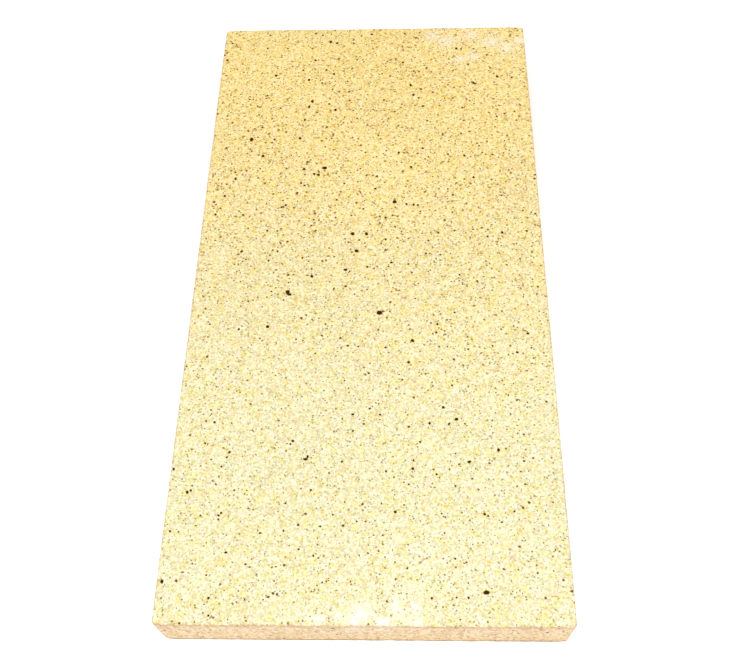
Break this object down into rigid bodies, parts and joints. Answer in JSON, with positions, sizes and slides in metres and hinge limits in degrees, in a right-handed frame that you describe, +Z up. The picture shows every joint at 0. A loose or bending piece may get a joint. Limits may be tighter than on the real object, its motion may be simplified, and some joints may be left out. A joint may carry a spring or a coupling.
{
  "type": "refractory firebrick slab",
  "caption": "Flat rectangular fireclay firebrick with square sides and slightly worn arrises, laid on its broad face to line the floor or walls of an oven, stove or kiln.",
  "frame": {"origin": "centre of the bed face, the broad face that lies on the floor", "axes": "+Z up through the thickness, +Y along the length, +X across the width"},
  "size_m": [0.2, 0.4, 0.03],
  "materials": {
    "fireclay": "matte, grainy fired clay with iron specks"
  },
  "bodies": {
    "root": {"firebrick_slab": "fireclay"}
  },
  "joints": []
}
